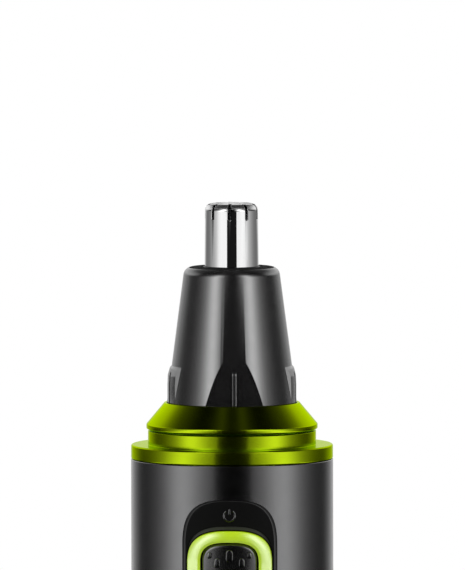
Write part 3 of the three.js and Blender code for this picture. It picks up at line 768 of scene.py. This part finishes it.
def pocket_liner():
    """The satin liner on the ledge round the pocket, in a lighter grey that is painted light; it shows as
    a crescent above the slider.
    """
    outline = slider_outline(margin=0.06, above=0.58, below=SLIDER_TRAVEL)
    liner = domed_plate("pocket_liner", outline, POCKET_LEDGE_R - 0.3, POCKET_LEDGE_R + 0.03, 0.02)
    combine(liner, "DIFFERENCE", pocket(POCKET_LEDGE_R - 1))
    settle(liner, "handle", "black_panel", material="pocket_floor_painted_light")


def power_mark():
    """The generic power symbol, a broken ring with an upright bar, standing proud of the plate."""
    centre_z = (PANEL_TOP + SLIDER_TOP) / 2 + 0.05
    ring_r = 0.76
    stroke = 0.14
    half_gap = math.radians(38)
    height = PANEL_R + 0.03
    rows = []
    for step in range(41):
        angle = math.pi / 2 + half_gap + (TURN - 2 * half_gap) * step / 40
        rows.append(stroke_section(ring_r, angle, centre_z, stroke, height))
    arc = skin("arc", rows, close_rows=False)
    outline = arched_outline(stroke, centre_z, centre_z + ring_r + 0.2, stroke, power=2, steps=5)
    bar = domed_plate("bar", outline, PANEL_R - 0.2, height + 0.1, 0.1)
    settle(joined("power_mark", arc, bar), "handle", "black_panel", material="button_black")


def stroke_section(ring_r, angle, centre_z, stroke, height):
    """One section of the symbol's ring, a low rounded stroke."""
    section = []
    for step in range(9):
        turn = math.pi * step / 8
        r = ring_r + stroke * math.cos(turn)
        lift = 0.1 * math.sin(turn)
        section.append(on_front(r * math.cos(angle), centre_z + r * math.sin(angle), height + lift))
    section.append(on_front(ring_r * math.cos(angle), centre_z + ring_r * math.sin(angle), PANEL_R - 0.2))
    return section


def slide_frame():
    """The lime frame: crisp outer edge, broad face, and a chamfer down to the insert."""
    outer = slider_outline()
    inner = arched_outline(
        SLIDER_HALF_WIDTH - FRAME_WIDTH_AT_SIDE,
        SLIDER_FOOT + FRAME_WIDTH_AT_TOP,
        SLIDER_TOP - FRAME_WIDTH_AT_TOP,
        SLIDER_ARCH - FRAME_WIDTH_AT_TOP,
        power=2.9,
    )
    # Each point is a share of the way from the outer to the inner edge, and a radius.
    section = [
        (0.0, SLIDER_BACK_R),
        (0.0, SLIDER_R - 0.3),
        (0.015, SLIDER_R - 0.23),
        (0.05, SLIDER_R - 0.19),
        (0.4, SLIDER_R - 0.1),
        (0.78, SLIDER_R),
        (0.82, SLIDER_R - 0.01),
        (0.92, SLIDER_R - 0.07),
        (0.96, SLIDER_R - 0.08),
        (0.99, SLIDER_R - 0.11),
        (1.0, SLIDER_R - 0.18),
        (1.0, SLIDER_BACK_R),
    ]
    rows = []
    for outside, inside in zip(outer, inner):
        rows.append([on_front(*towards(outside, inside, share), r) for share, r in section])
    settle(skin("slide_frame", rows), "slider", "lime_plastic", "slider_ring", sharp=50)


# Grip bumps on the insert: half width, half height, distance from the middle, level below its top.
BUMP_COLUMNS = ((0.5, 0.88, 0.0, 1.7), (0.4, 0.68, 1.72, 2.65), (0.3, 0.45, 2.8, 1.62))
BUMP_PITCH = 3.4
BUMPS_END_ABOVE = 0.5  # no bump comes closer to the insert's foot


def slide_insert():
    """The black insert, with columns of grip bumps that mirror each other about its middle."""
    outline = arched_outline(BUTTON_HALF_WIDTH, BUTTON_FOOT, BUTTON_TOP, 2.6)
    pad = domed_plate("pad", outline, SLIDER_BACK_R, BUTTON_R - 0.35, 0.28, crown=0.12, rings=14)
    shells = [pad]
    for half_width, half_height, out, below in BUMP_COLUMNS:
        level = BUTTON_TOP - below
        while level - half_height > BUTTON_FOOT + BUMPS_END_ABOVE:
            for x in sorted({-out, out}):
                shells.append(grip_bump(half_width, half_height, x, level))
            level -= BUMP_PITCH
    insert = joined("slide_insert", *shells)
    settle(insert, "slider", "black_panel", "slider_button", material="button_black")


def grip_bump(half_width, half_height, x, level):
    oval = arched_outline(half_width, -half_height, half_height, half_width, power=2, steps=6)
    base_r = BUTTON_R - 0.6
    return domed_plate("bump", moved(oval, x, level), base_r, BUTTON_R - 0.02, 0.12, crown=0.02, rings=4)


# ---- Bayonets ----

# Angles are in degrees, anticlockwise. A slot starts before its lug's place and ends past the twist.
LUG_PLACES = (0, 120, 240)
LUG_HALF_ANGLE = 12
SLOT_BEFORE_LUG = 15
SLOT_AFTER_LUG = 52


def bayonet_lugs(inner_r, outer_r, low, high, fillet):
    """The lugs on the piece that twists."""
    lugs = []
    for at in LUG_PLACES:
        lug = sector(inner_r, outer_r, at - LUG_HALF_ANGLE, at + LUG_HALF_ANGLE, low, high)
        lugs.append(soften_edges(lug, fillet))
    return lugs


def bayonet_slots(inner_r, outer_r, low, high):
    """Tools that cut a way in for each lug."""
    tools = []
    for at in LUG_PLACES:
        tools.append(sector(inner_r, outer_r, at - SLOT_BEFORE_LUG, at + SLOT_AFTER_LUG, low, high))
    return tools


# ---- Handle ----

SPIGOT_R = 12.9  # the parts of the two lime rings inside the tube
TUBE_FOOT = top("tail_trim_ring") - 9.3
TUBE_TOP = foot("flange_ring") + 3.3


def tube_sleeve():
    """The satin sleeve with fine rounded rims and the opening for the switch plate."""
    wall = 0.8
    low = TUBE_FOOT + SEAM
    high = TUBE_TOP - SEAM
    sleeve = turned(
        "tube_sleeve",
        [
            (HANDLE_R - wall, low),
            (HANDLE_R, low, 0.12),
            (HANDLE_R, high, 0.12),
            (HANDLE_R - wall, high),
        ],
    )
    combine(sleeve, "DIFFERENCE", upright_prism(panel_outline(0.06, 0.06), -BEYOND, -5))
    settle(sleeve, "handle", "gunmetal", "body_tube")


def collar_flange():
    """Flange, band and the spigot with its bayonet groove, in one turned piece."""
    low = foot("flange_ring")
    ledge = low + 3.6
    flange_top = low + 5.2
    high = top("flange_ring") - 0.14
    ledge_r = 8.0
    groove_r = 9.4
    band_r = 11.64
    flange_r = radius("flange_ring")
    body = turned(
        "collar_flange",
        [
            (groove_r, low),
            (SPIGOT_R, low, 0.2),
            (SPIGOT_R, TUBE_TOP),
            (flange_r, TUBE_TOP, 0.1),
            (flange_r, flange_top, 0.22),
            (band_r, flange_top, 0.06),
            (band_r, high, 0.05),
            (ledge_r, high, 0.15),
            (ledge_r, ledge, 0.1),
            (groove_r, ledge),
        ],
    )
    combine(body, "DIFFERENCE", *bayonet_slots(ledge_r - 0.5, groove_r - 0.2, low + 3, high + 1))
    settle(body, "handle", "lime_metal", "flange_ring")


def collar_shoulder():
    """The cone that leads up to the head, with the bead round its foot."""
    low = foot("shoulder_ring") - 0.24
    high = top("shoulder_ring") + 0.06
    bore_r = 9.05
    bead_r = radius("shoulder_ring")
    body = turned(
        "collar_shoulder",
        [
            (bore_r, low),
            (11.45, low, 0.05),
            (11.5, low + 0.1, 0.08),
            (bead_r, low + 0.22, 0.2),
            (bead_r, low + 0.84, 0.26),
            (9.36, high, 0.12),
            (bore_r, high, 0.05),
        ],
        steps=7,
    )
    settle(body, "handle", "lime_metal", "shoulder_ring")


def tail_ring():
    """The lime ring at the tail, and its spigot with the cap's bayonet."""
    low = foot("tail_trim_ring") - 0.1
    high = top("tail_trim_ring")
    ledge = high - 5.8
    ledge_r = 11.8
    groove_r = 12.4
    body = turned(
        "tail_ring",
        [
            (ledge_r, low),
            (HANDLE_R, low, 0.22),
            (HANDLE_R, TUBE_FOOT, 0.1),
            (SPIGOT_R, TUBE_FOOT),
            (SPIGOT_R, high, 0.2),
            (groove_r, high),
            (groove_r, ledge),
            (ledge_r, ledge, 0.1),
        ],
    )
    combine(body, "DIFFERENCE", *bayonet_slots(ledge_r - 0.5, groove_r - 0.05, low - 1, ledge + 1))
    settle(body, "handle", "lime_metal", "tail_trim_ring")


# ---- Head ----

HEAD_TURN = 3.9  # degrees that the whole cone sits turned
CUTTER_SHOWN = 8.8  # height of the cutter above the cone
CONE_HEIGHT = 18.75
CONE_TOP = top("outer_cutter") - CUTTER_SHOWN
CONE_FOOT = CONE_TOP - CONE_HEIGHT
CONE_TOP_R = 6.55
CONE_FOOT_R = 9.0
SEAL_R = 8.75
SKIRT_R = 7.7
FACET_DISTANCE = 8.06
FIN_R = 8.6
FIN_HALF_WIDTH = 0.29
PAD_R = 8.93
PAD_HALF_ANGLE = 25.6
PAD_SIDE_SLOPE = 66  # turn of the side walls' outward direction from the pad's own
PAD_BACK = 7.0  # the wedge that trims a pad ends here, inside the cone
PAD_GROOVES = (-12.5, 0, 12.5)  # degrees from the middle of a pad
# Turns for the two flats and fins, which are built on the right, and the two pads, built at the front.
QUARTER_TURNS = (90, 270)


def fin():
    """The slim marker fin on a flat, built on the right-hand side, with a rounded crest and upper end."""
    low = CONE_FOOT + 0.02
    high = CONE_FOOT + 4.85
    tip_height = 0.6
    crest_round = 0.12
    root = FACET_DISTANCE - 0.7
    sunk = FACET_DISTANCE - 0.2
    rows = []
    for step in range(25):
        z = low + (high - low) * step / 24
        share = max(0.0, (z - high + tip_height) / tip_height)
        reach = sunk + (FIN_R - sunk) * math.sqrt(1 - min(share, 1) ** 2)
        section = [(root, FIN_HALF_WIDTH, z)]
        for side in range(9):
            angle = math.pi * side / 8
            x = reach - crest_round + crest_round * math.sin(angle)
            section.append((x, FIN_HALF_WIDTH * math.cos(angle), z))
        section.append((root, -FIN_HALF_WIDTH, z))
        rows.append(section)
    return capped(rows)


def grip_pad():
    """A raised pad, built at the front, that slopes back into the cone at its top and at both sides."""
    root_r = 7.4
    high = CONE_FOOT + 5.27
    body = turned(
        "tool",
        [
            (root_r, CONE_FOOT),
            (PAD_R, CONE_FOOT),
            (PAD_R, CONE_FOOT + 2.4, 2),
            (8.87, CONE_FOOT + 3.75, 1),
            (8.6, CONE_FOOT + 4.8, 0.5),
            (8.15, high),
            (root_r, high),
        ],
    )
    half = math.radians(PAD_HALF_ANGLE)
    slope = math.radians(PAD_SIDE_SLOPE)
    reach = PAD_R * (math.sin(slope) * math.sin(half) + math.cos(slope) * math.cos(half))
    half_width = (reach - PAD_BACK * math.cos(slope)) / math.sin(slope)
    section = [(0, -reach / math.cos(slope)), (half_width, -PAD_BACK), (-half_width, -PAD_BACK)]
    wedge = capped([[(x, y, z) for x, y in section] for z in (CONE_FOOT - 1, CONE_FOOT + 6)])
    return combine(body, "INTERSECT", wedge)


def pad_groove(at):
    """A tool for one shallow, upright groove."""
    floor_r = 8.71
    far = CONE_FOOT_R + 3
    half_angle = 1.7
    return sector(floor_r, far, at - half_angle, at + half_angle, CONE_FOOT - 1, CONE_FOOT + 6, steps=4)


def cone_shell():
    """The head's shell: tapering cone, seal groove, skirt with its lugs, flats, fins and grip pads."""
    skirt_foot = foot("head_cone")
    seal_foot = CONE_FOOT - 3.53
    groove = middle("head_o_ring")
    groove_r = 7.8
    hole_r = 3.85
    body = turned(
        "cone_shell",
        [
            (6.4, skirt_foot),
            (SKIRT_R, skirt_foot, 0.2),
            (SKIRT_R, seal_foot),
            (SEAL_R, seal_foot, 0.1),
            (SEAL_R, groove - 0.7),
            (groove_r, groove - 0.7),
            (groove_r, groove + 0.7),
            (SEAL_R, groove + 0.7),
            (SEAL_R, CONE_FOOT - 0.02),
            (CONE_FOOT_R, CONE_FOOT - 0.02, 0.06),
            (CONE_TOP_R, CONE_TOP, 1.2),
            (hole_r, CONE_TOP, 0.12),
            (hole_r, CONE_TOP - 2.5),
            (5, CONE_TOP - 2.5),
            (5, CONE_TOP - 7.7),
            (6.2, CONE_TOP - 11.2),
            (7, CONE_TOP - 17.2),
            (6.4, CONE_TOP - 23.2),
        ],
        steps=8,
    )
    far = CONE_FOOT_R + 3
    tools = []
    for at in QUARTER_TURNS:
        combine(body, "UNION", turn_about_axis(grip_pad(), at))
        flat = block(FACET_DISTANCE, far, -far, far, CONE_FOOT - 0.015, CONE_TOP - 4)
        tools.append(turn_about_axis(flat, at))
        tools.extend(pad_groove(at + between) for between in PAD_GROOVES)
    combine(body, "DIFFERENCE", *tools)
    for at in QUARTER_TURNS:
        combine(body, "UNION", turn_about_axis(fin(), at))
    lugs = bayonet_lugs(SKIRT_R - 0.4, SEAL_R, skirt_foot + 0.4, skirt_foot + 2.8, 0.12)
    combine(body, "UNION", *lugs)
    turn_about_axis(body, HEAD_TURN)
    soften_edges(body, 0.05, angle=14)
    for finish in ("black_satin", "black_matt"):
        body.data.materials.append(material_of(finish))
    for face in body.data.polygons:  # the flat top round the cutter is matt
        face.material_index = int(face.normal.z > 0.9 and face.center.z > CONE_TOP - 0.1)
    settle(body, "head", "black_satin", "head_cone", sharp=40)


CUTTER_R = 3.65  # where the tapering wall would meet the flat top
CUTTER_FOOT_R = 3.76
CUTTER_WALL = 0.4
SLOT_COUNT = 9
SLOT_PHASE = -3.5  # degrees from the front to the first slot
SLOT_HALF_WIDTH = 0.21
SLOT_DEPTH = 2.2
CUTTER_SEGMENTS = 24 * SLOT_COUNT


def slot_tool(angle):
    """A round-ended slot cutter that runs from the roof, over the rim and down the side."""
    high = top("outer_cutter")
    low = high - SLOT_DEPTH
    outline = [(-SLOT_HALF_WIDTH, high + 1), (SLOT_HALF_WIDTH, high + 1)]
    for step in range(9):
        turn = math.pi * step / 8
        x = SLOT_HALF_WIDTH * math.cos(turn)
        outline.append((x, low + SLOT_HALF_WIDTH - SLOT_HALF_WIDTH * math.sin(turn)))
    return turn_about_axis(upright_prism(outline, -5, -1.75), angle)


def cutter_tube():
    """The slotted tube: polished wall, tumbled rim and roof, and a bore painted dark steel as painted
    shade inside the tube.
    """
    high = top("outer_cutter")
    low = foot("outer_cutter")
    shelf = low + 0.8
    shelf_r = radius("outer_cutter")
    bore = CUTTER_R - CUTTER_WALL
    roof = high - 0.45
    body = turned(
        "cutter_tube",
        [
            (bore, low),
            (shelf_r, low, 0.1),
            (shelf_r, shelf, 0.1),
            (CUTTER_FOOT_R, shelf),
            (CUTTER_FOOT_R, CONE_TOP - 0.2),
            (CUTTER_R, high, 0.95),
            (0, high),
            (0, roof),
            (bore, roof, 0.85),
        ],
        segments=CUTTER_SEGMENTS,
        steps=10,
    )
    slots = [slot_tool(SLOT_PHASE + 360 / SLOT_COUNT * index) for index in range(SLOT_COUNT)]
    combine(body, "DIFFERENCE", *slots)
    soften_edges(body, 0.07, segments=3, angle=40, clamp=False)
    for finish in ("chrome", "dark_steel_and_bore_shade", "tumbled_chrome"):
        body.data.materials.append(material_of(finish))
    # The bore's faces take the dark steel: painted shade, where little light reaches inside the tube.
    for face in body.data.polygons:
        if face.center.xy.length < bore + 0.05 and face.center.z < high - 0.1:
            face.material_index = 1
        elif face.normal.z > 0.35:
            face.material_index = 2
    settle(body, "head", "chrome", "outer_cutter", sharp=40)


def foot_washer():
    """The narrow pressed rim where the cutter tube leaves the cone."""
    rim = turned(
        "foot_washer",
        [
            (CUTTER_FOOT_R - 0.1, CONE_TOP - 0.3),
            (CUTTER_FOOT_R + 0.16, CONE_TOP - 0.3),
            (CUTTER_FOOT_R + 0.16, CONE_TOP + 0.05, 0.05),
            (CUTTER_FOOT_R - 0.1, CONE_TOP + 0.18),
        ],
        segments=CUTTER_SEGMENTS,
    )
    settle(rim, "head", "chrome", material="dark_steel_and_bore_shade")


# ---- Blade and drive ----


def cutter_vanes():
    """Crossed vanes with slanted upper corners, on a round hub."""
    low = foot("inner_blade")
    high = top("inner_blade")
    reach = radius("inner_blade")
    hub = turned(
        "cutter_vanes",
        [(0, low), (2, low, 0.1), (2, low + 2.2, 0.3), (1.2, low + 2.6, 0.2), (0, low + 2.6)],
        closed=False,
        segments=96,
    )
    outline = [
        (-reach, low + 2.0),
        (reach, low + 2.0),
        (reach, high - 1.0),
        (reach - 0.3, high - 0.45),
        (reach - 0.9, high),
        (0.9 - reach, high),
        (0.3 - reach, high - 0.45),
        (-reach, high - 1.0),
    ]
    for angle in (0, 90):
        vane = turn_about_axis(upright_prism(outline, -0.25, 0.25), angle)
        combine(hub, "UNION", vane)
    soften_edges(hub, 0.05, angle=40)
    settle(hub, "blade", "blade_steel", "inner_blade")


def drive_spindle():
    """The spindle, with a collar for its spring and a cross bar that the coupling turns."""
    low = foot("blade_spindle")
    high = top("blade_spindle")
    collar = high - 6.7
    collar_r = radius("blade_spindle")
    shaft = turned(
        "drive_spindle",
        [
            (0, low),
            (1.5, low, 0.15),
            (1.5, collar),
            (collar_r, collar, 0.12),
            (collar_r, collar + 1, 0.12),
            (2.4, collar + 1),
            (2.4, high, 0.2),
            (0, high),
        ],
        closed=False,
        segments=96,
    )
    bar = soften_edges(block(-2.5, 2.5, -0.6, 0.6, low + 0.01, low + 2), 0.15)
    combine(shaft, "UNION", bar)
    settle(shaft, "blade", "white_plastic", "blade_spindle")


def dog_cup():
    """The coupling on the motor's shaft: a round cup with two prongs."""
    low = foot("drive_coupling")
    high = top("drive_coupling")
    prong_foot = high - 2.9
    bore_r = 1.15
    cup_r = radius("drive_coupling")
    cup = turned(
        "dog_cup",
        [
            (bore_r, low),
            (cup_r, low, 0.2),
            (cup_r, prong_foot, 0.12),
            (bore_r, prong_foot, 0.15),
        ],
        segments=96,
    )
    for at in (0, 180):
        prong = sector(1.9, cup_r, at - 15, at + 15, prong_foot - 0.5, high, steps=6)
        combine(cup, "UNION", soften_edges(prong, 0.12))
    settle(cup, "rotor", "white_plastic", "drive_coupling")


def coil(name, foot_r, top_r, low, high, turns, wire_r, dead):
    """A round wire wound about the axis, with some dead turns wound closely at each end."""
    steps = int(turns * 40)
    rows = []
    rise = high - low - 2 * wire_r
    dead_pitch = 2.05 * wire_r
    live_rise = rise - 2 * dead * dead_pitch
    for step in range(steps + 1):
        share = step / steps
        turn = turns * share
        live = max(0.0, min(1.0, (turn - dead) / (turns - 2 * dead)))
        packed = min(turn, dead) + max(0.0, turn - (turns - dead))
        angle = TURN * turn
        r = foot_r + (top_r - foot_r) * share
        z = low + wire_r + packed * dead_pitch + live * live_rise
        ring = []
        for side in range(12):
            around = TURN * side / 12
            out = r + wire_r * math.cos(around)
            ring.append((out * math.cos(angle), out * math.sin(angle), z + wire_r * math.sin(around)))
        rows.append(ring)
    return skin(name, [[centre_of(rows[0])], *rows, [centre_of(rows[-1])]], close_rows=False)


def spindle_coil():
    """The spring below the spindle's collar."""
    low = foot("blade_spring")
    high = top("blade_spring")
    spring = coil("spindle_coil", 2.25, 2.25, low, high, 6, 0.22, 1)
    settle(spring, "blade", "spring_steel", "blade_spring")


def seal(name, node, body, wire_r):
    """An O-ring, round in section."""
    middle_r = radius(node) - wire_r
    section = []
    for step in range(24):
        angle = TURN * step / 24
        section.append((middle_r + wire_r * math.cos(angle), middle(node) + wire_r * math.sin(angle)))
    settle(turned(name, section, segments=160), body, "rubber", node)


# ---- Battery and its cap ----


def battery():
    """An unmarked cell: a steel can with its plus nub and minus plate, and a plain sleeve round it."""
    low = foot("battery_cell")
    high = top("battery_cell")
    shoulder = high - 1.3
    r = radius("battery_cell")
    can = turned(
        "cell_can",
        [
            (0, low),
            (5.0, low, 0.1),
            (5.3, low + 0.25, 0.1),
            (r - 0.35, low + 0.25, 0.2),
            (r - 0.3, low + 1.0, 0.2),
            (r - 0.12, low + 1.2),
            (r - 0.12, shoulder - 0.5, 0.3),
            (r - 0.9, shoulder - 0.2, 0.2),
            (2.9, shoulder - 0.2, 0.15),
            (2.75, high, 0.3),
            (0, high),
        ],
        closed=False,
        segments=128,
    )
    settle(can, "battery", "spring_steel", "battery_cell")
    sleeve = turned(
        "cell_sleeve",
        [
            (r - 0.5, low + 0.35),
            (r - 0.05, low + 0.4, 0.25),
            (r, low + 1.2, 0.3),
            (r, shoulder - 0.7, 0.3),
            (r - 0.75, shoulder - 0.02, 0.12),
            (r - 1.0, shoulder - 0.1),
            (r - 0.5, shoulder - 0.9),
        ],
        segments=128,
    )
    settle(sleeve, "battery", "cell_jacket")


def battery_cap():
    """The cap that closes the handle: a tapering skirt, a flat base and a bayonet spigot."""
    low = foot("tail_cap")
    high = top("tail_cap")
    floor = low + 2.5
    rim = foot("tail_trim_ring") - 0.3
    groove = middle("cap_o_ring")
    bore_r = 9.8
    groove_r = 10.6
    spigot_r = 11.5
    body = turned(
        "battery_cap",
        [
            (0, low),
            (12.8, low, 1.6),
            (HANDLE_R - 0.1, rim, 0.2),
            (spigot_r, rim),
            (spigot_r, groove - 0.8),
            (groove_r, groove - 0.8),
            (groove_r, groove + 0.8),
            (spigot_r, groove + 0.8),
            (spigot_r, high, 0.2),
            (bore_r, high, 0.2),
            (bore_r, floor, 0.5),
            (0, floor),
        ],
        closed=False,
        steps=8,
    )
    lugs = bayonet_lugs(spigot_r - 0.4, spigot_r + 0.6, high - 2.9, high - 1.1, 0.1)
    combine(body, "UNION", *lugs)
    settle(body, "cap", "black_satin", "tail_cap")


def cap_coil():
    """The cap's contact spring, which narrows towards its top."""
    low = foot("cap_contact_spring")
    high = top("cap_contact_spring")
    spring = coil("cap_coil", 5.4, 3.0, low, high, 6, 0.35, 1)
    settle(spring, "cap", "spring_steel", "cap_contact_spring")


# ---- CAD pieces that stay ----


def finish_carried_nodes():
    """Every CAD node still shown keeps its shape and gets its own finish."""
    slots = {entry["node"]: entry["material_slot"] for entry in frame["record"]["subparts"]}
    for name, node in frame["nodes"].items():
        if node.hide_render:
            continue
        node.data.materials.clear()
        node.data.materials.append(material_of(slots[name]))
        node.data.polygons.foreach_set("use_smooth", [True] * len(node.data.polygons))
        node.data.set_sharp_from_angle(angle=math.radians(35))


# ---- Everything ----

scene = bpy.context.scene
scene.view_settings.view_transform = "Standard"
scene.view_settings.look = "None"

make_camera()
make_world()
make_overhead_light()
make_floor()

tube_sleeve()
collar_flange()
collar_shoulder()
tail_ring()
switch_plate()
plate_rim()
pocket_liner()
power_mark()
slide_frame()
slide_insert()

cone_shell()
cutter_tube()
foot_washer()
cutter_vanes()
drive_spindle()
spindle_coil()
dog_cup()
seal("head_seal_ring", "head_o_ring", "head_seal", 0.5)

battery()
battery_cap()
cap_coil()
seal("cap_seal_ring", "cap_o_ring", "cap_seal", 0.45)

finish_carried_nodes()
